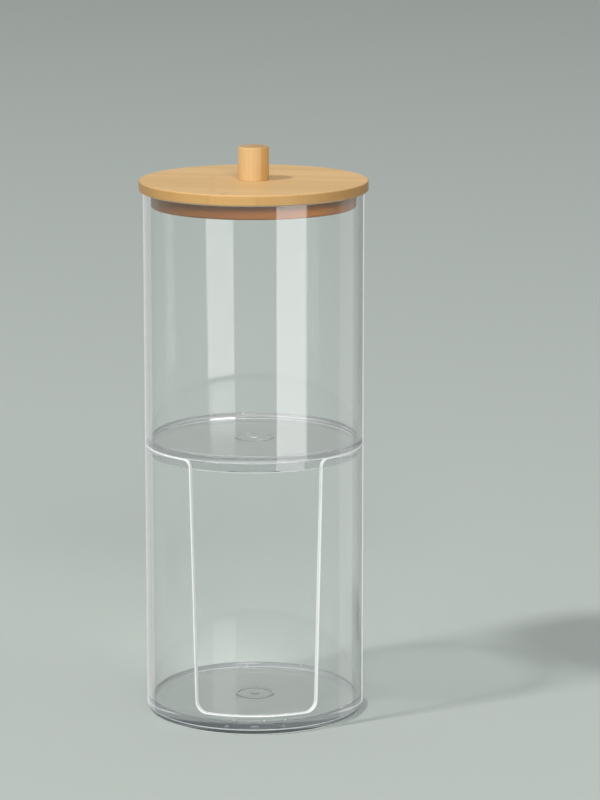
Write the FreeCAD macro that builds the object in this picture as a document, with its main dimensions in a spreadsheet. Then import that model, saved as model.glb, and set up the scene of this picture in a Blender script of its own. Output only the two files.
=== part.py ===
import FreeCAD
import Part
import Sketcher
import os
from FreeCAD import Vector

# Cotton pad holder: a clear moulded cup with a front slot for pads, a clear jar for swabs that nests
# in the cup's rim, and a bamboo lid with a turned knob. Millimetres. The origin is the centre of the
# base that the cup stands on, +Z is up, and the slot faces -Y.

SIZES = (
    # alias, value, meaning
    ("cup_radius", 35.4, "outer radius of the cup and of the jar"),
    ("wall_at_rim", 1.6, "moulded wall at the rims"),
    ("wall_at_floor", 1.75, "moulded wall at the floors, thicker by the core's draft"),
    ("floor_corner_radius", 1.2, "rounding between wall and floor, inside"),
    ("edge_rounding", 0.35, "rounding of the moulded edges"),
    ("cup_height", 88.8, "base to rim of the lower cup"),
    ("cup_floor", 3.7, "thickness of the lower cup's floor"),
    ("foot_height", 1.6, "height of the set-in foot"),
    ("foot_inset", 0.7, "how far the foot is set in"),
    ("slot_sill_height", 6.5, "base to the slot's lower edge"),
    ("slot_sill_width", 38.4, "slot width at its lower edge, straight across"),
    ("slot_draft", 1.5, "draft of the slot's sides, in degrees"),
    ("slot_corner_radius", 3.5, "rounding of the slot's lower corners"),
    ("slot_flare_radius", 2.5, "rounding where the slot opens into the rim"),
    ("jar_height", 82.1, "jar shoulder to jar rim"),
    ("jar_floor_rise", 1.3, "jar shoulder to the top of the jar's floor"),
    ("spigot_depth", 3.4, "how far the jar's floor reaches into the cup"),
    ("spigot_clearance", 0.3, "gap round the spigot, per side"),
    ("valve_ring_radius", 6.3, "outer radius of the raised ring in the middle of the floors"),
    ("valve_ring_width", 0.8, "width of that ring"),
    ("valve_pip_radius", 1.4, "radius of the raised pip in the ring's middle"),
    ("valve_ring_rise", 0.5, "how far ring and pip stand above the floor"),
    ("lid_overhang", 1.4, "how far the lid stands out past the jar"),
    ("lid_thickness", 3.4, "thickness of the lid disc"),
    ("lid_edge_radius", 0.5, "rounding of the lid disc's edges"),
    ("plug_depth", 4.85, "how far the plug reaches into the jar"),
    ("plug_clearance", 0.9, "gap round the plug, per side"),
    ("plug_chamfer", 0.5, "chamfer at the plug's lower edge"),
    ("knob_radius", 4.95, "radius of the knob"),
    ("knob_height", 10.7, "height of the knob"),
    ("knob_edge_radius", 0.4, "rounding of the knob's top edge"),
    ("screw_radius", 1.5, "radius over the screw's thread"),
    ("screw_cover", 2.25, "wood left between the screw's bore and the knob's top"),
    ("screw_point_length", 2.5, "length of the screw's point"),
    ("screw_head_radius", 3.0, "radius of the countersunk head"),
    ("screw_head_sink", 0.2, "how far the head lies below the plug's face"),
    ("screw_clearance", 0.05, "gap round the screw, per side"),
    ("screw_end_room", 0.5, "room past the screw's point"),
    ("recess_arm_length", 1.5, "reach of each arm of the cross recess"),
    ("recess_arm_width", 0.8, "width of each arm of the cross recess"),
    ("recess_depth", 1.2, "depth of the cross recess"),
    ("cut_overrun", 2.0, "how far cuts run past the faces that they open"),
)

# How near an edge has to lie to the place where it is looked for, as a share of the cup's radius,
# and how many points along it are tried.
NEAR_SHARE = 1e-4
EDGE_SAMPLES = 5
FULL_TURN = 360

doc = FreeCAD.newDocument("CottonPadHolder")
sheet = doc.addObject("Spreadsheet::Sheet", "Sizes")
for row, (alias, value, meaning) in enumerate(SIZES, start=1):
    sheet.set(f"A{row}", meaning)
    sheet.set(f"B{row}", str(value))
    sheet.setAlias(f"B{row}", alias)
doc.recompute()


def length(expression):
    """The value, in mm, of an expression in the sheet's sizes."""
    return float(sheet.evalExpression(expression))


def new_body(label, height="0"):
    """A body for one piece, whose own origin stands at the given height on the axis."""
    body = doc.addObject("PartDesign::Body", label)
    body.Label = label
    body.setExpression("Placement.Base.z", height)
    return body


def origin_plane(body, role):
    """One of the body's own three origin planes."""
    return next(feature for feature in body.Origin.OriginFeatures if feature.Role == role)


def new_sketch(body, name, role, offset=None):
    """A sketch on one of the body's own origin planes, moved off it along its normal if asked."""
    sketch = body.newObject("Sketcher::SketchObject", name)
    sketch.AttachmentSupport = [(origin_plane(body, role), "")]
    sketch.MapMode = "FlatFace"
    if offset is not None:
        sketch.setExpression("AttachmentOffset.Base.z", offset)
    return sketch


def hold_point(sketch, line, name, across, up):
    """Hold a line's first point at two expressions, measured from the sketch's origin."""
    for kind, axis, expression in (("DistanceX", -2, across), ("DistanceY", -1, up)):
        if expression == "0":
            sketch.addConstraint(Sketcher.Constraint("PointOnObject", line, 1, axis))
            continue
        held = Sketcher.Constraint(kind, -1, 1, line, 1, length(expression))
        number = sketch.addConstraint(held)
        sketch.renameConstraint(number, f"{name}{kind}")
        sketch.setExpression(f"Constraints.{name}{kind}", expression)


def draw_outline(sketch, corners):
    """A closed outline of straight lines, with every corner held at its two expressions."""
    places = [Vector(length(across), length(up), 0) for across, up in corners]
    ends = places[1:] + places[:1]
    lines = [sketch.addGeometry(Part.LineSegment(*pair)) for pair in zip(places, ends)]
    for line, following in zip(lines, lines[1:] + lines[:1]):
        sketch.addConstraint(Sketcher.Constraint("Coincident", line, 2, following, 1))
    for number, (line, (across, up)) in enumerate(zip(lines, corners)):
        hold_point(sketch, line, f"corner{number}", across, up)


def draw_circle(sketch, name, radius):
    """A circle about the sketch's origin, with its radius held at an expression."""
    middle = Vector(0, 0, 0)
    circle = sketch.addGeometry(Part.Circle(middle, Vector(0, 0, 1), length(radius)))
    sketch.addConstraint(Sketcher.Constraint("Coincident", circle, 3, -1, 1))
    number = sketch.addConstraint(Sketcher.Constraint("Radius", circle, length(radius)))
    sketch.renameConstraint(number, name)
    sketch.setExpression(f"Constraints.{name}", radius)


def revolve(body, name, corners):
    """Turn an outline in the XZ plane about the body's Z axis."""
    sketch = new_sketch(body, f"{name}Section", "XZ_Plane")
    draw_outline(sketch, corners)
    turned = body.newObject("PartDesign::Revolution", name)
    turned.Profile = sketch
    turned.ReferenceAxis = (sketch, ["V_Axis"])
    turned.Angle = FULL_TURN
    doc.recompute()
    return turned


def pad_disc(body, name, radius, height, downwards=False):
    """A round disc on the body's XY plane."""
    sketch = new_sketch(body, f"{name}Outline", "XY_Plane")
    draw_circle(sketch, "discRadius", radius)
    pad = body.newObject("PartDesign::Pad", name)
    pad.Profile = sketch
    pad.Reversed = downwards
    pad.setExpression("Length", height)
    doc.recompute()
    return pad


def cut_changes(cut, base=None):
    """Recompute and make sure that a cut took material away from what it cuts."""
    doc.recompute()
    base = base or cut.BaseFeature
    if not cut.Shape.Volume < base.Shape.Volume:
        raise RuntimeError(f"{cut.Label} removes nothing")
    return cut


def ring_edges(feature, radius, height):
    """Names of the edges that lie on the circle of this radius about Z at this height."""
    wanted_radius, wanted_height = length(radius), length(height)
    near = NEAR_SHARE * length("Sizes.cup_radius")
    names = []
    for number, edge in enumerate(feature.Shape.Edges, start=1):
        points = edge.discretize(EDGE_SAMPLES)
        on_radius = all(abs((p.x**2 + p.y**2) ** 0.5 - wanted_radius) < near for p in points)
        if on_radius and all(abs(p.z - wanted_height) < near for p in points):
            names.append(f"Edge{number}")
    return names


def straight_edges(feature, height):
    """Names of the straight edges that lie level at this height."""
    wanted = length(height)
    near = NEAR_SHARE * length("Sizes.cup_radius")
    names = []
    for number, edge in enumerate(feature.Shape.Edges, start=1):
        level = all(abs(vertex.Z - wanted) < near for vertex in edge.Vertexes)
        if level and edge.Curve.TypeId == "Part::GeomLine":
            names.append(f"Edge{number}")
    return names


def dress(body, kind, name, feature, edges, size):
    """Round or chamfer the named edges of a feature by the size that an expression gives."""
    if not edges:
        raise RuntimeError(f"{body.Label}: {name} finds no edges")
    dressed = body.newObject(f"PartDesign::{kind}", name)
    dressed.Base = (feature, edges)
    dressed.setExpression("Radius" if kind == "Fillet" else "Size", size)
    doc.recompute()
    return dressed


def valve_ring(body, name, floor_top):
    """The low ring that the core's air valve leaves on a moulded floor, with a pip in its middle."""
    sketch = new_sketch(body, f"{name}Outline", "XY_Plane", floor_top)
    draw_circle(sketch, "outerRadius", "Sizes.valve_ring_radius")
    draw_circle(sketch, "innerRadius", "Sizes.valve_ring_radius - Sizes.valve_ring_width")
    draw_circle(sketch, "pipRadius", "Sizes.valve_pip_radius")
    ring = body.newObject("PartDesign::Pad", name)
    ring.Profile = sketch
    ring.setExpression("Length", "Sizes.valve_ring_rise")
    doc.recompute()
    if not ring.Shape.Volume > ring.BaseFeature.Shape.Volume:
        raise RuntimeError(f"{name} adds nothing")
    return ring


RIM_BORE = "Sizes.cup_radius - Sizes.wall_at_rim"
FLOOR_BORE = "Sizes.cup_radius - Sizes.wall_at_floor"


def make_lower_cup():
    """The cup: turned section with a set-in foot, cut by a slot with radial faces, then rounded."""
    body = new_body("lower_cup")
    foot = "Sizes.cup_radius - Sizes.foot_inset"
    cup = revolve(body, "Cup", (
        ("0", "0"),
        (foot, "0"),
        (foot, "Sizes.foot_height"),
        ("Sizes.cup_radius", "Sizes.foot_height"),
        ("Sizes.cup_radius", "Sizes.cup_height"),
        (RIM_BORE, "Sizes.cup_height"),
        (FLOOR_BORE, "Sizes.cup_floor"),
        ("0", "Sizes.cup_floor"),
    ))

    # One half of the slot's core: its side stands in a plane through the axis and leans outwards by
    # the draft, so that the slot opens towards the rim. The other half mirrors it.
    top = "Sizes.cup_height + Sizes.cut_overrun"
    lean = f"({top} - Sizes.slot_sill_height) * tan(Sizes.slot_draft)"
    past_middle = "-(Sizes.slot_sill_width / 2 + Sizes.cut_overrun)"
    half_angle = "asin(Sizes.slot_sill_width / (2 * Sizes.cup_radius))"
    turn = FreeCAD.Rotation(Vector(0, 1, 0), length(half_angle))
    core = new_sketch(body, "SlotCore", "XZ_Plane")
    core.AttachmentOffset = FreeCAD.Placement(Vector(), turn)
    core.setExpression("AttachmentOffset.Rotation.Angle", half_angle)
    draw_outline(core, (
        (past_middle, "Sizes.slot_sill_height"),
        ("0", "Sizes.slot_sill_height"),
        (lean, top),
        (past_middle, top),
    ))
    half = body.newObject("PartDesign::Pocket", "HalfSlot")
    half.Profile = core
    half.Reversed = True
    half.setExpression("Length", "Sizes.cup_radius + Sizes.cut_overrun")
    cut_changes(half)
    slot = body.newObject("PartDesign::Mirrored", "FrontSlot")
    slot.Originals = [half]
    slot.MirrorPlane = (origin_plane(body, "YZ_Plane"), [""])
    body.Tip = slot
    cut_changes(slot, half)

    corners = straight_edges(slot, "Sizes.slot_sill_height")
    lower = dress(body, "Fillet", "SlotCorners", slot, corners, "Sizes.slot_corner_radius")
    mouths = straight_edges(lower, "Sizes.cup_height")
    flared = dress(body, "Fillet", "SlotFlares", lower, mouths, "Sizes.slot_flare_radius")
    bends = ring_edges(flared, FLOOR_BORE, "Sizes.cup_floor")
    inside = dress(body, "Fillet", "FloorCorner", flared, bends, "Sizes.floor_corner_radius")
    edges = (
        ring_edges(inside, "Sizes.cup_radius", "Sizes.cup_height")
        + ring_edges(inside, RIM_BORE, "Sizes.cup_height")
        + ring_edges(inside, "Sizes.cup_radius", "Sizes.foot_height")
        + ring_edges(inside, foot, "0")
    )
    dress(body, "Fillet", "CupEdges", inside, edges, "Sizes.edge_rounding")
    valve_ring(body, "CupValveRing", "Sizes.cup_floor")
    return body


def make_upper_jar():
    """The jar: turned section whose thick floor steps in to a spigot for the cup's rim."""
    body = new_body("upper_jar", "Sizes.cup_height")
    spigot = f"{RIM_BORE} - Sizes.spigot_clearance"
    jar = revolve(body, "Jar", (
        ("0", "-Sizes.spigot_depth"),
        (spigot, "-Sizes.spigot_depth"),
        (spigot, "0"),
        ("Sizes.cup_radius", "0"),
        ("Sizes.cup_radius", "Sizes.jar_height"),
        (RIM_BORE, "Sizes.jar_height"),
        (FLOOR_BORE, "Sizes.jar_floor_rise"),
        ("0", "Sizes.jar_floor_rise"),
    ))
    bends = ring_edges(jar, FLOOR_BORE, "Sizes.jar_floor_rise")
    inside = dress(body, "Fillet", "FloorCorner", jar, bends, "Sizes.floor_corner_radius")
    edges = (
        ring_edges(inside, spigot, "-Sizes.spigot_depth")
        + ring_edges(inside, "Sizes.cup_radius", "0")
        + ring_edges(inside, "Sizes.cup_radius", "Sizes.jar_height")
        + ring_edges(inside, RIM_BORE, "Sizes.jar_height")
    )
    dress(body, "Fillet", "JarEdges", inside, edges, "Sizes.edge_rounding")
    valve_ring(body, "JarValveRing", "Sizes.jar_floor_rise")
    return body


JAR_RIM = "Sizes.cup_height + Sizes.jar_height"
SCREW_BORE = "Sizes.screw_radius + Sizes.screw_clearance"


def cut_bore(body, name, depth, downwards):
    """A straight bore for the screw from the body's XY plane."""
    sketch = new_sketch(body, f"{name}Outline", "XY_Plane")
    draw_circle(sketch, "boreRadius", SCREW_BORE)
    bore = body.newObject("PartDesign::Pocket", name)
    bore.Profile = sketch
    bore.Reversed = not downwards
    bore.setExpression("Length", depth)
    return cut_changes(bore)


def make_lid_disc():
    """The lid's disc, which stands out past the jar and rests on its rim."""
    body = new_body("lid_disc", JAR_RIM)
    radius = "Sizes.cup_radius + Sizes.lid_overhang"
    disc = pad_disc(body, "Disc", radius, "Sizes.lid_thickness")
    edges = ring_edges(disc, radius, "0") + ring_edges(disc, radius, "Sizes.lid_thickness")
    dress(body, "Fillet", "DiscEdges", disc, edges, "Sizes.lid_edge_radius")
    cut_bore(body, "ScrewBore", "Sizes.lid_thickness + Sizes.cut_overrun", downwards=False)
    return body


def make_lid_plug():
    """The plug under the disc, which centres the lid in the jar and takes the screw's head."""
    body = new_body("lid_plug", JAR_RIM)
    radius = f"{RIM_BORE} - Sizes.plug_clearance"
    plug = pad_disc(body, "Plug", radius, "Sizes.plug_depth", downwards=True)
    edges = ring_edges(plug, radius, "-Sizes.plug_depth")
    dress(body, "Chamfer", "PlugLead", plug, edges, "Sizes.plug_chamfer")
    cut_bore(body, "ScrewBore", "Sizes.plug_depth + Sizes.cut_overrun", downwards=True)
    mouth = "Sizes.screw_head_radius + Sizes.screw_clearance"
    seat = new_sketch(body, "CountersinkSection", "XZ_Plane")
    face = "-Sizes.plug_depth"
    sunk = f"{face} + Sizes.screw_head_sink"
    draw_outline(seat, (
        ("0", f"{face} - Sizes.cut_overrun"),
        (mouth, f"{face} - Sizes.cut_overrun"),
        (mouth, sunk),
        ("0", f"{sunk} + {mouth}"),
    ))
    countersink = body.newObject("PartDesign::Groove", "Countersink")
    countersink.Profile = seat
    countersink.ReferenceAxis = (seat, ["V_Axis"])
    countersink.Angle = FULL_TURN
    cut_changes(countersink)
    return body


def make_lid_knob():
    """The knob: a short bamboo dowel with an eased top edge and a blind bore for the screw."""
    body = new_body("lid_knob", f"{JAR_RIM} + Sizes.lid_thickness")
    knob = pad_disc(body, "Knob", "Sizes.knob_radius", "Sizes.knob_height")
    edges = ring_edges(knob, "Sizes.knob_radius", "Sizes.knob_height")
    dress(body, "Fillet", "KnobEdge", knob, edges, "Sizes.knob_edge_radius")
    cut_bore(body, "ScrewBore", "Sizes.knob_height - Sizes.screw_cover", downwards=False)
    return body


def make_knob_screw():
    """The countersunk screw that holds knob, disc and plug together, driven from below."""
    head_face = f"{JAR_RIM} - Sizes.plug_depth + Sizes.screw_head_sink"
    body = new_body("knob_screw", head_face)
    in_plug = "Sizes.plug_depth - Sizes.screw_head_sink"
    in_knob = "Sizes.knob_height - Sizes.screw_cover - Sizes.screw_end_room"
    whole = f"{in_plug} + Sizes.lid_thickness + {in_knob}"
    revolve(body, "Screw", (
        ("0", "0"),
        ("Sizes.screw_head_radius", "0"),
        ("Sizes.screw_radius", "Sizes.screw_head_radius - Sizes.screw_radius"),
        ("Sizes.screw_radius", f"{whole} - Sizes.screw_point_length"),
        ("0", whole),
    ))
    sketch = new_sketch(body, "CrossOutline", "XY_Plane")
    arm, half = "Sizes.recess_arm_length", "Sizes.recess_arm_width / 2"
    draw_outline(sketch, (
        (arm, f"-{half}"), (arm, half), (half, half), (half, arm),
        (f"-{half}", arm), (f"-{half}", half), (f"-{arm}", half), (f"-{arm}", f"-{half}"),
        (f"-{half}", f"-{half}"), (f"-{half}", f"-{arm}"), (half, f"-{arm}"), (half, f"-{half}"),
    ))
    recess = body.newObject("PartDesign::Pocket", "CrossRecess")
    recess.Profile = sketch
    recess.Reversed = True
    recess.setExpression("Length", "Sizes.recess_depth")
    cut_changes(recess)
    return body


pieces = [
    make_lower_cup(),
    make_upper_jar(),
    make_lid_disc(),
    make_lid_plug(),
    make_lid_knob(),
    make_knob_screw(),
]
doc.recompute()

failed = [item.Label for item in doc.Objects if {"Invalid", "Error"} & set(item.State)]
if failed:
    raise RuntimeError(f"these objects failed: {failed}")
for piece in pieces:
    if piece.Shape.isNull() or not piece.Shape.isValid() or len(piece.Shape.Solids) != 1:
        raise RuntimeError(f"{piece.Label} isn't one valid solid")

os.makedirs("parts", exist_ok=True)
for piece in pieces:
    piece.Shape.exportStep(f"parts/{piece.Label}.step")
    box = piece.Shape.BoundBox
    print(f"{piece.Label}: {piece.Shape.Volume:.1f} mm3, z {box.ZMin:.2f} to {box.ZMax:.2f}")
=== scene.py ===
"""Cotton pad holder: a clear cup with a front slot, a clear jar that nests in its rim, and a bamboo lid."""

import math

import bpy
import numpy as np
from bpy.props import FloatProperty, FloatVectorProperty, PointerProperty
from mathutils import Euler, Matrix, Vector


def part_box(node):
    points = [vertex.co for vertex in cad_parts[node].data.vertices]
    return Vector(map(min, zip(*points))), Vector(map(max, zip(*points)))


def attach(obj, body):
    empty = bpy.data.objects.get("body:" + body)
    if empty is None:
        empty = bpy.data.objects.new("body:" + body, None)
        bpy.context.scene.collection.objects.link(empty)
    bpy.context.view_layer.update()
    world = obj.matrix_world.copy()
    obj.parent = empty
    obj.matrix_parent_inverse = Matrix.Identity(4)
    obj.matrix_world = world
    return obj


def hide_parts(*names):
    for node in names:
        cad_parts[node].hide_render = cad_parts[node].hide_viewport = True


bl_info = {
    "name": "Cotton Pad Holder",
    "version": (1, 0, 0),
    "blender": (4, 5, 0),
    "location": "View3D > Sidebar > Pad Holder",
    "description": "Builds a clear cotton pad holder with a bamboo lid around its packed frame",
    "category": "Add Mesh",
}

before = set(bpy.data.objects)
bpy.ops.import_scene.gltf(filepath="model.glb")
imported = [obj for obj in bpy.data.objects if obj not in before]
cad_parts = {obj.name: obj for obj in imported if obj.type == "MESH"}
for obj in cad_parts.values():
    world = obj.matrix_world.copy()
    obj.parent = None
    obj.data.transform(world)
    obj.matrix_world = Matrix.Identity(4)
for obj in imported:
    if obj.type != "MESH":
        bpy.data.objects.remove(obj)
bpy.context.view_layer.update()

MM = 0.001
CUP_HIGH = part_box("lower_cup")[1]
JAR_LOW, JAR_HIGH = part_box("upper_jar")
DISC_LOW, DISC_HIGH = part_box("lid_disc")
PLUG_LOW, PLUG_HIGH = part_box("lid_plug")
KNOB_LOW, KNOB_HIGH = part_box("lid_knob")
SCREW_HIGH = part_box("knob_screw")[1]

# How finely the surfaces are divided. The slot's outline is divided piece by piece.
SILL_STEPS = 24
CORNER_STEPS = 10
SIDE_STEPS = 60
FLARE_STEPS = 8
RIM_STEPS = 76
SHEET_STEPS = 36
ARC_STEPS = 6
JAR_COLUMNS = 300
LID_COLUMNS = 256
KNOB_COLUMNS = 96
FLOOR_STEPS = 8
GLOW_STEPS = 16

# How far past the ends of a rounding the next points lie, so that its shading stays off the flat sides.
GUARD = 0.05 * MM

# Which of a moulding's materials a stretch of its section takes. Polished walls have the first, 0.
EDGE = 1
BEND = 2

# How many times light is mirrored in the plastic before it counts as spent.
MIRRORINGS = 3

# How the bamboo's pattern is turned about X, Y and Z. Its strips run along its own X.
DISC_TURN = (0.0, 0.0, 0.2)
PLUG_TURN = (0.0, 0.0, 1.6)
KNOB_TURN = (math.pi / 2, 0.48, math.pi / 2)

# The lamps' places, as azimuth in degrees, distance from the axis and height, with their widths and
# heights, and the height on the axis that the two large ones face.
KEY_PLACE, KEY_SIZE = (-60.0, 4.0, 4.87), (0.55, 0.55)
FRONT_PLACE, FRONT_SIZE = (6.0, 3.4, 2.2), (2.0, 1.2)
CARD_PLACE, CARD_SIZE = (37.0, 0.19, 0.172), (0.1, 0.26)
LAMPS_FACE = 0.1

# The azimuths, in degrees, between which the walls mirror each light sheet, and its nearer and farther end.
EDGE_SHEETS = {"left": (-88.0, -68.0), "right": (50.0, 63.0), "right edge": (80.0, 88.0)}
EDGE_REACH = (MM, 1.4)
BAND_AZIMUTHS, BAND_REACH = (11.4, 28.1), (0.3, 2.5)

# The length in millimetres that the camera's lens is stated for, along the picture's longer side.
FILM_SIDE = 36.0


def length(name, description, millimetres):
    """A length that a user may change, in metres."""
    return FloatProperty(
        name=name, description=description, default=millimetres * MM, min=0.0, precision=5, unit="LENGTH"
    )


def share(name, description, default):
    """A number from 0 to 1 that a user may change."""
    return FloatProperty(
        name=name, description=description, default=default, min=0.0, max=1.0, subtype="FACTOR"
    )


def colour(name, description, default):
    """A linear colour that a user may change."""
    return FloatVectorProperty(
        name=name, description=description, default=default, size=3, min=0.0, max=1.0, subtype="COLOR"
    )


def angle(name, description, degrees):
    """An angle that a user may change."""
    return FloatProperty(
        name=name, description=description, default=math.radians(degrees), precision=4, subtype="ANGLE"
    )


def number(name, description, default):
    """A plain number that a user may change."""
    return FloatProperty(name=name, description=description, default=default, min=0.0)


class HOLDER_PG_moulding(bpy.types.PropertyGroup):
    """Sizes of the two clear mouldings that their boxes don't give."""

    wall_at_rim: length("Wall at the rims", "Moulded wall at the rims", 1.6)
    wall_at_floor: length("Wall at the floors", "Moulded wall at the floors", 1.75)
    floor_corner: length("Floor corner", "Rounding between wall and floor, inside", 1.2)
    edge_rounding: length("Edge rounding", "Rounding of the moulded edges", 0.35)
    step_rounding: length("Step rounding", "Rounding in the steps of foot and spigot", 0.12)
    cup_floor: length("Cup floor", "Thickness of the cup's floor", 3.7)
    foot_height: length("Foot height", "Height of the set-in foot", 1.6)
    foot_inset: length("Foot inset", "How far the foot is set in", 0.7)
    sill_height: length("Sill height", "Base to the slot's lower edge", 6.5)
    sill_width: length("Sill width", "Slot width at its lower edge", 38.4)
    slot_draft: angle("Slot draft", "Lean of the slot's sides", 1.5)
    slot_corner: length("Slot corner", "Rounding of the slot's lower corners", 3.5)
    slot_flare: length("Slot flare", "Rounding where the slot opens into the rim", 2.5)
    jar_floor_rise: length("Jar floor rise", "Jar shoulder to the top of the jar's floor", 1.3)
    spigot_clearance: length("Spigot clearance", "Gap round the spigot, per side", 0.3)
    valve_ring: length("Valve ring", "Outer radius of the raised ring in the middle of the floors", 6.3)
    valve_width: length("Valve ring width", "Width of that ring", 0.8)
    valve_pip: length("Valve pip", "Radius of the raised pip in the ring's middle", 1.4)
    valve_rise: length("Valve ring rise", "How far ring and pip stand above the floor", 0.5)


class HOLDER_PG_lid(bpy.types.PropertyGroup):
    """Sizes of the lid's turned pieces that their boxes don't give."""

    disc_edge: length("Disc edge", "Rounding of the lid disc's edges", 0.5)
    plug_chamfer: length("Plug chamfer", "Chamfer at the plug's lower edge", 0.5)
    knob_edge: length("Knob edge", "Rounding of the knob's top edge", 0.4)
    sharp_edge: length("Sanded edge", "Rounding that sanding leaves on the other edges", 0.12)
    screw_bore: length("Screw bore", "Radius of the bore for the screw", 1.55)
    head_bore: length("Head bore", "Radius of the countersink for the screw's head", 3.05)
    head_sink: length("Head sink", "How far the head lies below the plug's face", 0.2)


class HOLDER_PG_finish(bpy.types.PropertyGroup):
    """Colours and gloss of the materials."""

    plastic: colour("Plastic", "Colour of the clear plastic", (0.985, 0.992, 0.99))
    plastic_haze: share("Plastic haze", "Share of light that the plastic's skin scatters", 0.008)
    edge_haze: share("Edge haze", "Share of light that the moulded edges scatter", 0.93)
    bend_haze: share("Bend haze", "Share of light that the floor's bends and rings scatter", 0.28)
    plastic_depth: colour("Plastic in depth", "Colour that light keeps in thick plastic", (0.50, 0.58, 0.65))
    plastic_density: number("Plastic density", "How soon light takes on that colour, per metre", 1.5)
    plastic_index: number("Plastic index", "Refractive index of the plastic", 1.57)
    plastic_inside: colour("Plastic inside", "Tone of light mirrored often inside it", (0.50, 0.52, 0.52))
    disc_wood: colour("Disc bamboo", "Colour of the lid disc's bamboo", (0.835, 0.538, 0.246))
    # The disc's upright side is darker and deeper than its top: partly its own side-face tone, partly painted
    # shade.
    disc_side_shade: colour("Disc side", "Tint of the lid disc's upright side", (0.8, 0.73, 0.6))
    # Painted shade: the plug's bamboo is darker and more orange than the disc's, for the shade under the
    # disc's overhang.
    plug_wood_shaded: colour("Plug bamboo", "Colour of the plug's bamboo", (0.52, 0.18, 0.01))
    knob_wood: colour("Knob bamboo", "Colour of the knob's bamboo", (0.81, 0.548, 0.269))
    strip_width: length("Strip width", "Width of the bamboo strips in disc and plug", 6.0)
    knob_strip_width: length("Knob strip width", "Width of the bamboo strips in the knob", 3.6)
    steel: colour("Steel", "Colour of the plated screw", (0.62, 0.62, 0.63))


class HOLDER_PG_stage(bpy.types.PropertyGroup):
    """Camera, lamps and floor."""

    camera_distance: length("Camera distance", "Camera to the holder's axis, level", 1085.3)
    camera_height: length("Camera height", "Camera above the floor", 323.7)
    camera_turn: angle("Camera turn", "How far the camera stands left of the slot's middle", 0.92)
    camera_pitch: angle("Camera pitch", "How far the camera looks down", 11.53)
    camera_yaw: angle("Camera yaw", "How far the camera looks right of the axis", 0.783)
    camera_lens: number("Camera lens", "Focal length in mm, for a 36 mm long side", 153.89)
    floor: colour("Floor", "Colour of the floor", (0.55, 0.59, 0.56))
    floor_reach: length("Floor reach", "From the middle of the floor to its sides", 30000.0)
    floor_gap: length("Floor gap", "Gap between the floor and the cup's base", 0.15)
    sky: colour("Surroundings", "Colour of the even light all round", (0.95, 1.0, 0.98))
    sky_strength: number("Surroundings strength", "Strength of the even light", 0.34)
    key_power: number("Key lamp", "Power of the lamp high on the left", 165.0)
    front_power: number("Front lamp", "Power of the lamp in front", 80.0)
    sheet_strength: number("Light sheets", "Strength of the low sheets that edge the plastic", 0.95)
    band_strength: number("Light band", "Strength of the sheet that the walls mirror as upright bands", 3.2)
    card_power: number("Light card", "Power of the tall card that shows where it is mirrored twice", 0.12)


class Tree:
    """A shader node tree that is written as nested calls."""

    def __init__(self, tree):
        self.tree = tree
        tree.nodes.clear()

    def add(self, kind, inputs=(), **settings):
        """A node of one kind with its settings; inputs are values or sockets, by name or number."""
        node = self.tree.nodes.new(kind)
        for key, value in settings.items():
            setattr(node, key, value)
        for key, value in dict(inputs).items():
            if isinstance(value, bpy.types.NodeSocket):
                self.tree.links.new(value, node.inputs[key])
            else:
                node.inputs[key].default_value = value
        return node

    def math(self, operation, *values):
        """The output of a Math node."""
        return self.add("ShaderNodeMath", enumerate(values), operation=operation).outputs[0]

    def ramp(self, factor, *stops):
        """The output of a Color Ramp; stops are places with colours."""
        node = self.add("ShaderNodeValToRGB", {"Fac": factor})
        elements = node.color_ramp.elements
        while len(elements) < len(stops):
            elements.new(0.5)
        for element, (place, shade) in zip(elements, stops):
            element.position = place
            element.color = (*shade, 1.0)
        return node.outputs["Color"]

    def mix(self, factor, first, second, blend="MIX"):
        """The colour output of a Mix node; colours may be sockets."""
        node = self.add("ShaderNodeMix", data_type="RGBA", blend_type=blend)
        for slot, value in ((0, factor), (6, first), (7, second)):
            if isinstance(value, bpy.types.NodeSocket):
                self.tree.links.new(value, node.inputs[slot])
            else:
                node.inputs[slot].default_value = (*value, 1.0) if slot else value
        return node.outputs[2]

    def noise(self, points, scale, detail, roughness=0.5):
        """The factor output of a Noise Texture node."""
        inputs = {"Vector": points, "Scale": scale, "Detail": detail, "Roughness": roughness}
        return self.add("ShaderNodeTexNoise", inputs).outputs["Fac"]

    def spread(self, value, start, end, low=0.0, high=1.0):
        """The output of a Map Range node: from low to high while the value goes from start to end."""
        inputs = {"Value": value, "From Min": start, "From Max": end, "To Min": low, "To Max": high}
        return self.add("ShaderNodeMapRange", inputs).outputs["Result"]

    def bump(self, height, strength, distance):
        """The normal output of a Bump node."""
        inputs = {"Height": height, "Strength": strength, "Distance": distance}
        return self.add("ShaderNodeBump", inputs).outputs["Normal"]

    def bounced(self, kind, times=1):
        """1 where light has bounced at least so many times in one way, Diffuse, Glossy or Transmission."""
        depth = self.add("ShaderNodeLightPath").outputs[kind + " Depth"]
        return self.math("GREATER_THAN", depth, times - 0.5)

    def opposite(self, value):
        """1 minus a value."""
        return self.math("SUBTRACT", 1.0, value)


def new_material(name):
    """A material with an empty node tree."""
    made = bpy.data.materials.new(name)
    made.use_nodes = True
    return made, Tree(made.node_tree)


def object_points(tree, turn=(0, 0, 0), scale=(1, 1, 1)):
    """Object coordinates through a Mapping node."""
    found = tree.add("ShaderNodeTexCoord").outputs["Object"]
    inputs = {"Vector": found, "Rotation": turn, "Scale": scale}
    return tree.add("ShaderNodeMapping", inputs).outputs["Vector"]


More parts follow.
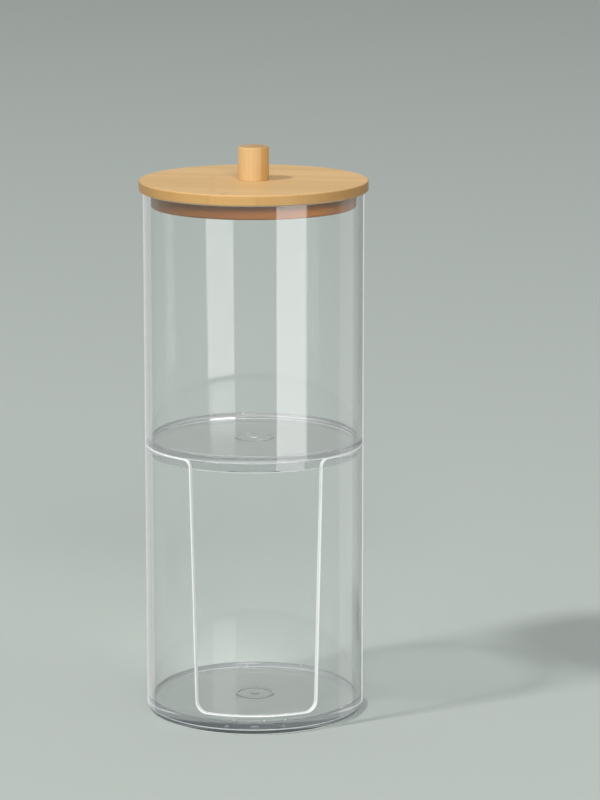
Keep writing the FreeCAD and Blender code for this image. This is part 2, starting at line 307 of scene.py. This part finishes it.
def clear_plastic(finish, name, haze, dullest):
    """Clear moulding: long, faint flow ripples bend the reflections a little, and a fine pattern of wiping
    marks varies the gloss up to the dullest roughness. A share of the light is scattered white as haze.
    Light that has been mirrored inside many times ends in an even tone, and lamps shine through the
    plastic, less where the wall is seen edge on."""
    made, tree = new_material(name)
    flow = tree.noise(object_points(tree, scale=(1, 1, 0.25)), scale=45.0, detail=1.0, roughness=0.4)
    slanted = object_points(tree, turn=(0.3, 0.2, 0.5), scale=(1, 1, 0.12))
    wiped = tree.noise(slanted, scale=420.0, detail=3.0)
    body = tree.add("ShaderNodeBsdfPrincipled", {
        "Base Color": (*finish.plastic, 1.0),
        "Roughness": tree.spread(wiped, 0.35, 0.75, low=0.3 * dullest, high=dullest),
        "IOR": finish.plastic_index,
        "Transmission Weight": 1.0 - haze,
        "Normal": tree.bump(flow, strength=0.02, distance=0.4 * MM),
    }).outputs[0]
    inside = tree.add("ShaderNodeBsdfDiffuse", {"Color": (*finish.plastic_inside, 1.0)}).outputs[0]
    spent = tree.bounced("Glossy", MIRRORINGS)
    seen = tree.add("ShaderNodeMixShader", {0: spent, 1: body, 2: inside}).outputs[0]

    edge_on = tree.add("ShaderNodeLayerWeight", {"Blend": 0.35}).outputs["Facing"]
    passed = tree.ramp(
        edge_on, (0.0, (0.97, 0.975, 0.97)), (0.75, (0.86, 0.87, 0.87)), (1.0, (0.35, 0.37, 0.38))
    )
    passing = tree.add("ShaderNodeBsdfTransparent", {"Color": passed}).outputs[0]
    to_lamp = tree.add("ShaderNodeLightPath").outputs["Is Shadow Ray"]
    both = tree.add("ShaderNodeMixShader", {0: to_lamp, 1: seen, 2: passing}).outputs[0]
    depth = tree.add("ShaderNodeVolumeAbsorption", {
        "Color": (*finish.plastic_depth, 1.0), "Density": finish.plastic_density,
    }).outputs[0]
    tree.add("ShaderNodeOutputMaterial", {"Surface": both, "Volume": depth})
    return made


def moulding_finishes(finish, name):
    """A moulding's three materials: polished walls, hazy edges, and the bends and rings of its floor."""
    return (
        clear_plastic(finish, name + " walls", finish.plastic_haze, dullest=0.045),
        clear_plastic(finish, name + " edges", finish.edge_haze, dullest=0.4),
        clear_plastic(finish, name + " bends", finish.bend_haze, dullest=0.3),
    )


def bamboo(name, wood, strip_width, turn, side=(1.0, 1.0, 1.0), end_depth=0.85, painted_shade_strip=0.0):
    """Laminated bamboo: strips that run along X, each a little lighter or darker, with faint joints, long
    fibres, fine dark pores and a few faint knots, under a thin satin lacquer. Where the fibres end at the
    surface it is darker, by the share end_depth. turn sets how the strips run. side tints the upright faces;
    the disc's tint makes them darker than the top, partly the side face's own tone and partly painted shade.
    The last argument is the share by which strip number 0 is darker and a deeper orange: painted shade."""
    made, tree = new_material(name)
    points = object_points(tree, turn=turn)
    along = tree.add("ShaderNodeSeparateXYZ", {"Vector": points}).outputs

    def from_middle(value):
        return tree.math("ABSOLUTE", tree.math("SUBTRACT", tree.math("FRACT", value), 0.5))

    strips = tree.math("DIVIDE", along["Y"], strip_width)
    strip = tree.math("FLOOR", strips)
    tint = tree.add("ShaderNodeTexWhiteNoise", {"W": strip}, noise_dimensions="1D").outputs["Value"]
    shaded_strip_mask = tree.math("COMPARE", strip, 0.0, 0.5)
    joint = tree.spread(from_middle(strips), 0.47, 0.5)

    shifted = tree.add("ShaderNodeCombineXYZ", {
        "X": tree.math("ADD", along["X"], tree.math("MULTIPLY", tint, 0.37)),
        "Y": along["Y"],
        "Z": along["Z"],
    }).outputs[0]
    lengthwise = tree.add("ShaderNodeMapping", {"Vector": shifted, "Scale": (0.03, 1, 1)}).outputs[0]
    fibres = tree.noise(lengthwise, scale=2600.0, detail=2.0, roughness=0.6)
    bands = tree.noise(lengthwise, scale=380.0, detail=3.0, roughness=0.55)
    cloud = tree.noise(points, scale=30.0, detail=2.0)
    pores = tree.spread(fibres, 0.58, 0.74)
    knots = tree.math("ADD", tree.math("MULTIPLY", along["X"], 6.0), tint)
    knot = tree.spread(from_middle(knots), 0.0, 0.01, low=1.0, high=0.0)

    # The direction of the pattern's own X, along which the fibres run, on the piece.
    lie = Euler(turn).to_matrix().transposed() @ Vector((1, 0, 0))
    normal = tree.add("ShaderNodeTexCoord").outputs["Normal"]
    end_on = tree.add("ShaderNodeVectorMath", {0: normal, 1: lie}, operation="DOT_PRODUCT").outputs["Value"]
    end_grain = tree.math("POWER", tree.math("ABSOLUTE", end_on), 2.0)

    def tone(*shares):
        return tuple(channel * part for channel, part in zip(wood, shares))

    shade = tree.math("ADD", tree.math("MULTIPLY", tint, 0.35), tree.math("MULTIPLY", bands, 0.65))
    shown = tree.ramp(
        shade, (0.15, tone(0.86, 0.82, 0.74)), (0.5, tone(1, 1, 1)), (0.85, tone(1.05, 1.06, 1.08))
    )
    for mark, strength, shares in (
        (cloud, 0.22, (0.96, 0.86, 0.78)),
        (pores, 0.22, (0.66, 0.52, 0.4)),
        (joint, 0.14, (0.6, 0.48, 0.36)),
        (knot, 0.2, (0.62, 0.5, 0.38)),
        # Painted shade: strip number 0 is darker and a deeper orange, where the knob's flank lies in shade.
        (shaded_strip_mask, painted_shade_strip, (0.81, 0.68, 0.46)),
        (end_grain, end_depth, (0.62, 0.55, 0.5)),
    ):
        shown = tree.mix(tree.math("MULTIPLY", mark, strength), shown, tone(*shares))
    # Upright faces take the side tint: partly the side face's own tone, partly painted shade on the rim.
    upward = tree.math("ABSOLUTE", tree.add("ShaderNodeSeparateXYZ", {"Vector": normal}).outputs["Z"])
    shown = tree.mix(1.0, shown, tree.mix(upward, side, (1.0, 1.0, 1.0)), "MULTIPLY")

    relief = tree.math("SUBTRACT", tree.math("MULTIPLY", fibres, 0.7), tree.math("MULTIPLY", joint, 0.3))
    body = tree.add("ShaderNodeBsdfPrincipled", {
        "Base Color": shown,
        "Roughness": tree.spread(fibres, 0.0, 1.0, low=0.38, high=0.54),
        "Specular IOR Level": 0.2,
        "Coat Weight": 0.04,
        "Coat Roughness": 0.25,
        "Normal": tree.bump(relief, strength=0.2, distance=0.06 * MM),
    })
    tree.add("ShaderNodeOutputMaterial", {"Surface": body.outputs[0]})
    return made


def plated_steel(finish):
    """Bright zinc plate with the fine scuffs that a driver leaves round the recess."""
    made, tree = new_material("Plated steel")
    scuffs = tree.noise(object_points(tree), scale=2400.0, detail=3.0)
    dull = tuple(0.75 * channel for channel in finish.steel)
    body = tree.add("ShaderNodeBsdfPrincipled", {
        "Base Color": tree.ramp(scuffs, (0.3, dull), (0.7, tuple(finish.steel))),
        "Metallic": 1.0,
        "Roughness": tree.spread(scuffs, 0.0, 1.0, low=0.2, high=0.42),
        "Normal": tree.bump(scuffs, strength=0.15, distance=0.02 * MM),
    })
    tree.add("ShaderNodeOutputMaterial", {"Surface": body.outputs[0]})
    return made


def unit(vectors):
    """Vectors scaled to length 1 along their last axis."""
    return vectors / np.linalg.norm(vectors, axis=-1, keepdims=True)


def turn_between(first, second):
    """Unit vectors that turn evenly from first to second, both included, along a new first axis: the two
    are weighted by the sines of the angles still to go and already gone, over the sine of the whole."""
    whole = np.arccos(np.clip((first * second).sum(-1), -1, 1))[..., None]
    gone = np.linspace(0, 1, ARC_STEPS + 1).reshape(-1, *([1] * whole.ndim))
    return (np.sin((1 - gone) * whole) * first + np.sin(gone * whole) * second) / np.sin(whole)


def outline(corners):
    """A turned piece's section as points (radius, height, finish). Each corner is (radius, height,
    rounding) and may end with a finish: a rounded corner is the arc that touches both sides, with a guard
    point on each side just past its ends, and its points have the corner's finish. All others have 0."""
    places = np.array([corner[:2] for corner in corners], float)
    points = [np.append(places[0], 0)[None]]
    for before, place, after, (_, _, rounding, *finish) in zip(places, places[1:], places[2:], corners[1:]):
        back, ahead = unit(before - place), unit(after - place)
        half = math.acos(np.dot(back, ahead)) / 2
        centre = place + unit(back + ahead) * rounding / math.sin(half)
        reach = rounding / math.tan(half)
        start, end = place + back * reach, place + ahead * reach
        arc = centre + rounding * turn_between((start - centre) / rounding, (end - centre) / rounding)
        for stretch, number in (([start + back * GUARD], 0), (arc, sum(finish)), ([end + ahead * GUARD], 0)):
            points.append(np.pad(stretch, ((0, 0), (0, 1)), constant_values=number))
    points.append(np.append(places[-1], 0)[None])
    return np.concatenate(points)


def on_wall(azimuth, radius, height):
    """Points on a wall: x and y are the radius times the azimuth's sine and minus its cosine."""
    return np.stack(np.broadcast_arrays(radius * np.sin(azimuth), -radius * np.cos(azimuth), height), -1)


def turned(section, columns):
    """Rows of points of a turned surface: each point (radius, height) of the section goes once round the
    Z axis, as on a wall of its radius at its height."""
    azimuth = np.linspace(0, 2 * np.pi, columns, endpoint=False)
    return on_wall(azimuth, section[:, :1], section[:, 1:2])


def finish_between(finish):
    """The finish of each stretch from a point of a section to the next: the lower of its ends' two."""
    return np.minimum(finish[:-1], finish[1:])


def surface_object(name, rows, row_finish=0, closed=False):
    """A mesh from rows of points that each run once round. The rows' ends are closed by a pole each, or
    the last row joins the first where the section itself is closed. Faces are turned outwards by the sign
    of the enclosed volume, the sum of each corner triple's determinant over six. row_finish numbers the
    material of the faces between each row and the next."""
    count, columns = rows.shape[:2]
    index = np.arange(count * columns).reshape(count, columns)
    points = rows.reshape(-1, 3)
    if closed:
        index = np.concatenate([index, index[:1]])
        fans = np.empty((0, 3), int)
    else:
        poles = np.stack([rows[0].mean(0), rows[-1].mean(0)])
        points = np.concatenate([points, poles])
        first, last = index[0], index[-1]
        low, high = np.full(columns, len(points) - 2), np.full(columns, len(points) - 1)
        fans = np.concatenate([
            np.stack([low, first, np.roll(first, -1)], -1),
            np.stack([high, np.roll(last, -1), last], -1),
        ])
    near, far = index[:-1], index[1:]
    quads = np.stack([near, far, np.roll(far, -1, 1), np.roll(near, -1, 1)], -1).reshape(-1, 4)
    corners = np.concatenate([quads[:, [0, 1, 2]], quads[:, [0, 2, 3]], fans])
    volume = np.linalg.det(points[corners]).sum() / 6
    if volume < 0:
        quads, fans = quads[:, ::-1], fans[:, ::-1]

    mesh = bpy.data.meshes.new(name)
    mesh.vertices.add(len(points))
    mesh.vertices.foreach_set("co", points.astype(np.float32).ravel())
    loops = np.concatenate([quads.ravel(), fans.ravel()])
    totals = np.concatenate([np.full(len(quads), 4), np.full(len(fans), 3)])
    mesh.loops.add(len(loops))
    mesh.loops.foreach_set("vertex_index", loops)
    mesh.polygons.add(len(totals))
    mesh.polygons.foreach_set("loop_start", np.cumsum(totals) - totals)
    mesh.polygons.foreach_set("loop_total", totals)
    mesh.polygons.foreach_set("use_smooth", np.ones(len(totals), bool))
    finish = np.zeros(len(totals), np.int32)
    finish[:len(quads)].reshape(-1, columns)[:] = np.reshape(row_finish, (-1, 1))
    mesh.polygons.foreach_set("material_index", finish)
    mesh.update(calc_edges=True)
    mesh.validate()
    made = bpy.data.objects.new(name, mesh)
    bpy.context.scene.collection.objects.link(made)
    return made


def dress(piece, body, node, slot, *materials):
    """Give a piece its materials and its body, and hide the node that it stands for. The slot is not used."""
    for material in materials:
        piece.data.materials.append(material)
    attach(piece, body)
    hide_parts(node)


def slot_outline(sizes, radius, rim):
    """The cup's upper edge over half the way round, from the slot's middle to the back.

    The slot's side is straight where it is cut: it leans by the draft in a plane that looks along the
    radius at the sill's end, and a rounding joins it to the sill and to the rim. A point at distance
    across from that radius meets a wall of radius R at the azimuth of the radius plus asin(across / R).
    Returns the azimuth on a wall of any radius as a function, the heights, and the cut face's normals as
    (across, up)."""
    lean = sizes.slot_draft
    half_angle = math.asin(sizes.sill_width / 2 / radius)
    sill, bend, flare = sizes.sill_height, sizes.slot_corner, sizes.slot_flare

    low_centre = np.array([-bend * (1 - math.sin(lean)) / math.cos(lean), sill + bend])
    turn = np.linspace(-math.pi / 2, -lean, CORNER_STEPS + 1)
    corner_normal = -np.stack([np.cos(turn), np.sin(turn)], -1)
    corner = low_centre - bend * corner_normal

    top_centre_across = (flare + (rim - flare - sill) * math.sin(lean)) / math.cos(lean)
    turn = np.linspace(math.pi - lean, math.pi / 2, FLARE_STEPS + 1)
    mouth_normal = np.stack([np.cos(turn), np.sin(turn)], -1)
    mouth = np.array([top_centre_across, rim - flare]) + flare * mouth_normal

    way = np.linspace(0, 1, SIDE_STEPS + 1)[1:-1, None]
    side = corner[-1] + (mouth[0] - corner[-1]) * way
    cut = np.concatenate([corner, side, mouth])
    cut_normal = np.concatenate([corner_normal, np.broadcast_to(corner_normal[-1], side.shape), mouth_normal])

    sill_way = np.linspace(0, 1, SILL_STEPS + 1)[:-1]
    rim_way = np.linspace(0, 1, RIM_STEPS + 1)[1:]
    heights = np.concatenate([np.full(len(sill_way), sill), cut[:, 1], np.full(len(rim_way), rim)])
    upright = np.array([0.0, 1.0])
    normals = np.concatenate([
        np.broadcast_to(upright, (len(sill_way), 2)), cut_normal, np.broadcast_to(upright, (len(rim_way), 2)),
    ])

    def azimuths(wall):
        found = half_angle + np.arcsin(cut[:, 0] / wall[len(sill_way):len(sill_way) + len(cut)])
        return np.concatenate([found[0] * sill_way, found, found[-1] + (np.pi - found[-1]) * rim_way])

    return azimuths, heights, normals, half_angle


def cup_rows(sizes):
    """Rows of points of the lower cup, from the middle of its floor up the inner wall, over the cut edge
    and down the outer wall to the middle of the underside.

    Each wall is ruled: a point of the upper edge joins the point of the wall's evenly divided lowest
    circle with the same number by a straight line in azimuth and height, and the wall's radius at that
    height puts it in space. Between the walls a ball of the edge's rounding touches wall and cut face,
    and its arc from one normal to the other is the rounded edge."""
    radius, rim = CUP_HIGH.x, CUP_HIGH.z
    rounding = sizes.edge_rounding
    floor = sizes.cup_floor
    azimuths, heights, normals, half_angle = slot_outline(sizes, radius, rim)

    def inner_radius(height):
        climbed = (height - floor) / (rim - floor)
        return radius - sizes.wall_at_floor + (sizes.wall_at_floor - sizes.wall_at_rim) * climbed

    across = np.array([math.cos(half_angle), math.sin(half_angle), 0.0])
    face = unit(normals[:, :1] * across + normals[:, 1:] * np.array([0.0, 0.0, 1.0]))
    outer_azimuth = azimuths(np.full(len(heights), radius))
    inner_azimuth = azimuths(inner_radius(heights))
    out = on_wall(outer_azimuth, 1.0, 0.0)
    inwards = -on_wall(inner_azimuth, 1.0, 0.0)

    def edge(place, normal):
        share = rounding / (1 + (normal * face).sum(-1, keepdims=True))
        centre = place - share * (normal + face)
        return centre + rounding * turn_between(normal, face)

    outer_edge = edge(on_wall(outer_azimuth, radius, heights), out)
    inner_edge = edge(on_wall(inner_azimuth, inner_radius(heights), heights), inwards)
    guard_share = GUARD / sizes.wall_at_rim
    flat = [inner_edge[-1] + (outer_edge[-1] - inner_edge[-1]) * w for w in (guard_share, 1 - guard_share)]

    even = np.linspace(0, np.pi, len(heights))
    guard = GUARD / (rim - floor)
    steps = np.concatenate([[guard], np.linspace(0, 1, SHEET_STEPS + 1)[1:-1], [1 - guard, 1.0]])

    def sheet(first, lowest, wall):
        start = np.arctan2(first[:, 0], -first[:, 1])
        down = steps[:, None]
        height = first[:, 2] + (lowest - first[:, 2]) * down
        return on_wall(start + (even - start) * down, wall(height), height)

    bend_top = floor + sizes.floor_corner
    foot_top = sizes.foot_height + rounding
    inner_sheet = sheet(inner_edge[0], bend_top, inner_radius)
    outer_sheet = sheet(outer_edge[0], foot_top, lambda height: radius)

    floor_section = outline((
        *valve_corners(sizes, floor),
        (inner_radius(floor), floor, sizes.floor_corner, BEND),
        (inner_radius(bend_top + GUARD), bend_top + GUARD, 0),
    ))[1:-2]
    foot = radius - sizes.foot_inset
    foot_section = outline((
        (radius, foot_top + GUARD, 0),
        (radius, sizes.foot_height, rounding, EDGE),
        (foot, sizes.foot_height, sizes.step_rounding),
        (foot, 0, rounding, EDGE),
        (0, 0, 0),
    ))[2:-1]

    def ring(section):
        return on_wall(even, section[:, :1], section[:, 1:2])

    cut = np.concatenate([inner_edge, flat, outer_edge[::-1]])
    half = np.concatenate([ring(floor_section), inner_sheet[::-1], cut, outer_sheet, ring(foot_section)])
    mirrored = half[:, -2:0:-1] * np.array([-1.0, 1.0, 1.0])
    finish = np.concatenate([
        floor_section[:, 2], np.zeros(len(inner_sheet)), np.full(len(cut), EDGE), np.zeros(len(outer_sheet)),
        foot_section[:, 2],
    ])
    return np.concatenate([half, mirrored], 1), finish_between(finish)


def valve_corners(sizes, floor):
    """Corners of the pip and the low ring in the middle of a moulded floor, from the inside out."""
    top, rounding = floor + sizes.valve_rise, sizes.step_rounding
    inner = sizes.valve_ring - sizes.valve_width
    return (
        (0, top, 0),
        (sizes.valve_pip, top, rounding, BEND),
        (sizes.valve_pip, floor, rounding),
        (inner, floor, rounding),
        (inner, top, rounding, BEND),
        (sizes.valve_ring, top, rounding, BEND),
        (sizes.valve_ring, floor, rounding),
    )


class HOLDER_OT_clear_cup(bpy.types.Operator):
    """Build the clear lower cup with its front slot"""

    bl_idname = "holder.clear_cup"
    bl_label = "Clear Cup"

    def execute(self, context):
        finish = context.scene.holder_finish
        cup = surface_object("clear_cup", *cup_rows(context.scene.holder_moulding))
        dress(cup, "lower_cup", "lower_cup", "clear_plastic", *moulding_finishes(finish, "Cup"))
        return {"FINISHED"}


class HOLDER_OT_clear_jar(bpy.types.Operator):
    """Build the clear upper jar with the spigot under its floor"""

    bl_idname = "holder.clear_jar"
    bl_label = "Clear Jar"

    def execute(self, context):
        sizes, finish = context.scene.holder_moulding, context.scene.holder_finish
        radius, rim, shoulder = JAR_HIGH.x, JAR_HIGH.z, CUP_HIGH.z
        floor = shoulder + sizes.jar_floor_rise
        spigot = radius - sizes.wall_at_rim - sizes.spigot_clearance
        section = outline((
            *valve_corners(sizes, floor),
            (radius - sizes.wall_at_floor, floor, sizes.floor_corner, BEND),
            (radius - sizes.wall_at_rim, rim, sizes.edge_rounding, EDGE),
            (radius, rim, sizes.edge_rounding, EDGE),
            (radius, shoulder, sizes.edge_rounding, EDGE),
            (spigot, shoulder, sizes.step_rounding),
            (spigot, JAR_LOW.z, sizes.edge_rounding, EDGE),
            (0, JAR_LOW.z, 0),
        ))[1:-1]
        jar = surface_object("clear_jar", turned(section, JAR_COLUMNS), finish_between(section[:, 2]))
        dress(jar, "upper_jar", "upper_jar", "clear_plastic", *moulding_finishes(finish, "Jar"))
        return {"FINISHED"}


def closed_section(corners):
    """The section of a turned piece with a bore: the outline starts and ends in the middle of a side."""
    (first_radius, first_height, _), (last_radius, last_height, _) = corners[0], corners[-1]
    middle = ((first_radius + last_radius) / 2, (first_height + last_height) / 2, 0)
    return outline((middle, *corners, middle))[:-1]


class HOLDER_OT_bamboo_lid(bpy.types.Operator):
    """Build the bamboo disc, the plug glued under it and the knob on top"""

    bl_idname = "holder.bamboo_lid"
    bl_label = "Bamboo Lid"

    def execute(self, context):
        sizes, finish = context.scene.holder_lid, context.scene.holder_finish
        bore, eased = sizes.screw_bore, sizes.sharp_edge

        disc_radius = DISC_HIGH.x
        disc = surface_object("bamboo_disc", turned(closed_section((
            (bore, DISC_LOW.z, eased),
            (disc_radius, DISC_LOW.z, sizes.disc_edge),
            (disc_radius, DISC_HIGH.z, sizes.disc_edge),
            (bore, DISC_HIGH.z, eased),
        )), LID_COLUMNS), closed=True)
        # The disc's side tint holds painted shade as well as the side face's tone.
        grain = bamboo("Bamboo disc", finish.disc_wood, finish.strip_width, DISC_TURN, side=finish.disc_side_shade)
        dress(disc, "lid", "lid_disc", "bamboo", grain)

        plug_radius, face = PLUG_HIGH.x, PLUG_LOW.z
        seat = face + sizes.head_sink
        plug = surface_object("bamboo_plug", turned(closed_section((
            (bore, PLUG_HIGH.z, eased),
            (bore, seat + sizes.head_bore - bore, eased),
            (sizes.head_bore, seat, eased / 2),
            (sizes.head_bore, face, eased / 2),
            (plug_radius - sizes.plug_chamfer, face, eased),
            (plug_radius, face + sizes.plug_chamfer, eased),
            (plug_radius, PLUG_HIGH.z, eased),
        )), LID_COLUMNS), closed=True)
        # The plug's colour carries painted shade from the disc that overhangs it.
        grain = bamboo("Bamboo plug", finish.plug_wood_shaded, finish.strip_width, PLUG_TURN)
        dress(plug, "lid", "lid_plug", "bamboo_plug", grain)

        knob_radius = KNOB_HIGH.x
        knob = surface_object("bamboo_knob", turned(outline((
            (0, SCREW_HIGH.z, 0),
            (bore, SCREW_HIGH.z, eased),
            (bore, KNOB_LOW.z, eased),
            (knob_radius, KNOB_LOW.z, eased),
            (knob_radius, KNOB_HIGH.z, sizes.knob_edge),
            (0, KNOB_HIGH.z, 0),
        ))[1:-1], KNOB_COLUMNS))
        # One strip of the knob is darkened as painted shade on its shaded flank.
        grain = bamboo(
            "Bamboo knob", finish.knob_wood, finish.knob_strip_width, KNOB_TURN, end_depth=0.5, painted_shade_strip=0.9
        )
        dress(knob, "lid", "lid_knob", "bamboo_knob", grain)
        return {"FINISHED"}


class HOLDER_OT_knob_screw(bpy.types.Operator):
    """Plate the steel screw that holds the knob"""

    bl_idname = "holder.knob_screw"
    bl_label = "Knob Screw"

    def execute(self, context):
        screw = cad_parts["knob_screw"]
        screw.data.materials.clear()
        screw.data.materials.append(plated_steel(context.scene.holder_finish))
        return {"FINISHED"}


def sheet_object(name, rows):
    """A sheet from rows of points: each face joins two neighbours of a row to the same two of the next."""
    index = np.arange(rows[..., 0].size).reshape(rows.shape[:2])
    faces = np.stack([index[:-1, :-1], index[1:, :-1], index[1:, 1:], index[:-1, 1:]], -1).reshape(-1, 4)
    mesh = bpy.data.meshes.new(name)
    mesh.from_pydata(rows.reshape(-1, 3).tolist(), [], faces.tolist())
    made = bpy.data.objects.new(name, mesh)
    bpy.context.scene.collection.objects.link(made)
    return made


def pale_paper(stage):
    """The floor's pale paper, matt, with a fine low grain."""
    made, tree = new_material("Pale paper")
    grain = tree.noise(object_points(tree), scale=900.0, detail=2.0)
    sheet = tree.add("ShaderNodeBsdfDiffuse", {
        "Color": (*stage.floor, 1.0), "Normal": tree.bump(grain, strength=0.05, distance=0.05 * MM),
    })
    tree.add("ShaderNodeOutputMaterial", {"Surface": sheet.outputs[0]})
    return made


def lay_floor(stage):
    """A level square of paper under the holder, divided evenly both ways."""
    side = np.linspace(-stage.floor_reach, stage.floor_reach, FLOOR_STEPS + 1)
    x, y = np.meshgrid(side, side, indexing="ij")
    floor = sheet_object("floor", np.stack([x, y, np.full_like(x, -stage.floor_gap)], -1))
    floor.data.materials.append(pale_paper(stage))


def set_surroundings(scene, stage):
    """An even light from all round."""
    world = bpy.data.worlds.new("Surroundings")
    world.use_nodes = True
    tree = Tree(world.node_tree)
    even = tree.add("ShaderNodeBackground", {"Color": (*stage.sky, 1.0), "Strength": stage.sky_strength})
    tree.add("ShaderNodeOutputWorld", {"Surface": even.outputs[0]})
    scene.world = world


def add_lamp(name, place, target, size, power):
    """A soft rectangular lamp that faces its target and that the camera doesn't see."""
    lamp = bpy.data.lights.new(name, "AREA")
    lamp.shape = "RECTANGLE"
    lamp.size, lamp.size_y = size
    lamp.energy = power
    made = bpy.data.objects.new(name, lamp)
    made.location = place
    made.rotation_euler = (target - place).to_track_quat("-Z", "Y").to_euler()
    made.visible_camera = False
    bpy.context.scene.collection.objects.link(made)
    return made


def around(azimuth_degrees, distance, height):
    """A place at an azimuth round the holder, 0 in front of the slot and positive to the right."""
    azimuth = math.radians(azimuth_degrees)
    return Vector((distance * math.sin(azimuth), -distance * math.cos(azimuth), height))


def in_reflections(tree):
    """1 where a glow counts and else 0: it counts where no matt surface has scattered the light, and where
    the glow isn't seen straight through the plastic."""
    unscattered = tree.opposite(tree.bounced("Diffuse"))
    unmirrored = tree.opposite(tree.bounced("Glossy"))
    straight_through = tree.math("MULTIPLY", tree.bounced("Transmission"), unmirrored)
    return tree.math("MULTIPLY", unscattered, tree.opposite(straight_through))


def mirrored_twice(tree):
    """A lamp's strength: 1 for light mirrored at least twice that no matt surface has scattered, else 0."""
    return tree.math("MULTIPLY", tree.opposite(tree.bounced("Diffuse")), tree.bounced("Glossy", 2))


def not_mirrored(tree):
    """A lamp's strength: 1, but 0 for light that reaches a matt surface by way of a mirroring."""
    return tree.opposite(tree.math("MULTIPLY", tree.bounced("Diffuse"), tree.bounced("Glossy")))


def set_glow(lamp, strength):
    """Give a lamp a node tree; strength is a function from the tree to the strength's socket."""
    lamp.use_nodes = True
    tree = Tree(lamp.node_tree)
    glow = tree.add("ShaderNodeEmission", {"Strength": strength(tree)})
    tree.add("ShaderNodeOutputLight", {"Surface": glow.outputs[0]})


def sheet_glow(name, strength):
    """The material of a light sheet: it glows where reflections show it and is clear elsewhere."""
    made, tree = new_material(name)
    clear = tree.add("ShaderNodeBsdfTransparent").outputs[0]
    light = tree.add("ShaderNodeEmission", {"Strength": strength}).outputs[0]
    sheet = tree.add("ShaderNodeMixShader", {0: in_reflections(tree), 1: clear, 2: light})
    tree.add("ShaderNodeOutputMaterial", {"Surface": sheet.outputs[0]})
    return made


def light_sheet(name, azimuths, reach, strength, through_walls=False):
    """A glowing sheet on the floor that only reflections show: it lies where level rays from the front go
    on the floor's plan after a reflection on the wall between two azimuths. A ray that meets the wall at
    azimuth p leaves in the direction (sin 2p, -cos 2p), so the sheet is ruled by such lines, from the
    reach's nearer distance to its farther one. The far wall mirrors it too if it shines through walls."""
    azimuth = np.radians(np.linspace(*azimuths, GLOW_STEPS + 1))
    wall = on_wall(azimuth, JAR_HIGH.x, MM)
    made = sheet_object(name, np.stack([wall + on_wall(2 * azimuth, distance, 0.0) for distance in reach]))
    made.data.materials.append(sheet_glow(name, strength))
    made.visible_camera = made.visible_diffuse = made.visible_shadow = False
    made.visible_transmission = through_walls


def hang_lamps(stage):
    """The key lamp high on the left, the front lamp, and the sheets and the card that reflections show."""
    middle = Vector((0.0, 0.0, LAMPS_FACE))
    key = add_lamp("key lamp", around(*KEY_PLACE), middle, KEY_SIZE, stage.key_power)
    key.visible_glossy = key.visible_transmission = False
    front = add_lamp("front lamp", around(*FRONT_PLACE), middle, FRONT_SIZE, stage.front_power)
    front.visible_transmission = False
    set_glow(front.data, not_mirrored)
    for side, azimuths in EDGE_SHEETS.items():
        light_sheet("light sheet " + side, azimuths, EDGE_REACH, stage.sheet_strength)
    light_sheet("light band", BAND_AZIMUTHS, BAND_REACH, stage.band_strength, through_walls=True)
    place = around(*CARD_PLACE)
    card = add_lamp("light card", place, Vector((0.0, 0.0, place.z)), CARD_SIZE, stage.card_power)
    card.visible_diffuse = False
    set_glow(card.data, mirrored_twice)


def set_camera(scene, stage):
    """The camera of the main view."""
    camera = bpy.data.cameras.new("camera")
    camera.lens = stage.camera_lens
    camera.sensor_width = FILM_SIDE
    camera.clip_start, camera.clip_end = 0.01, 50.0
    made = bpy.data.objects.new("camera", camera)
    made.location = (
        -stage.camera_distance * math.sin(stage.camera_turn),
        -stage.camera_distance * math.cos(stage.camera_turn),
        stage.camera_height,
    )
    heading, pitch = stage.camera_turn + stage.camera_yaw, stage.camera_pitch
    looks = Vector((
        math.sin(heading) * math.cos(pitch), math.cos(heading) * math.cos(pitch), -math.sin(pitch),
    ))
    made.rotation_euler = looks.to_track_quat("-Z", "Y").to_euler()
    scene.collection.objects.link(made)
    scene.camera = made


class HOLDER_OT_stage(bpy.types.Operator):
    """Set up the floor, the surroundings, the lamps and the camera"""

    bl_idname = "holder.stage"
    bl_label = "Stage"

    def execute(self, context):
        scene = context.scene
        stage = scene.holder_stage
        lay_floor(stage)
        set_surroundings(scene, stage)
        hang_lamps(stage)
        set_camera(scene, stage)
        scene.view_settings.view_transform = "Standard"
        return {"FINISHED"}


class HOLDER_PT_panel(bpy.types.Panel):
    """Sizes, finishes and steps of the pad holder"""

    bl_idname = "HOLDER_PT_panel"
    bl_label = "Cotton Pad Holder"
    bl_space_type = "VIEW_3D"
    bl_region_type = "UI"
    bl_category = "Pad Holder"

    def draw(self, context):
        for operator in OPERATORS:
            self.layout.operator(operator.bl_idname)
        for attribute, group in GROUPS.items():
            box = self.layout.box()
            box.label(text=group.__doc__.split(".")[0])
            for name in group.__annotations__:
                box.prop(getattr(context.scene, attribute), name)


GROUPS = {
    "holder_moulding": HOLDER_PG_moulding,
    "holder_lid": HOLDER_PG_lid,
    "holder_finish": HOLDER_PG_finish,
    "holder_stage": HOLDER_PG_stage,
}
OPERATORS = (
    HOLDER_OT_clear_cup,
    HOLDER_OT_clear_jar,
    HOLDER_OT_bamboo_lid,
    HOLDER_OT_knob_screw,
    HOLDER_OT_stage,
)
CLASSES = (*GROUPS.values(), *OPERATORS, HOLDER_PT_panel)


def register():
    for made in CLASSES:
        bpy.utils.register_class(made)
    for attribute, group in GROUPS.items():
        setattr(bpy.types.Scene, attribute, PointerProperty(type=group))


def unregister():
    for attribute in GROUPS:
        delattr(bpy.types.Scene, attribute)
    for made in reversed(CLASSES):
        bpy.utils.unregister_class(made)


def main():
    register()
    bpy.ops.holder.clear_cup()
    bpy.ops.holder.clear_jar()
    bpy.ops.holder.bamboo_lid()
    bpy.ops.holder.knob_screw()
    bpy.ops.holder.stage()


if __name__ == "__main__":
    main()
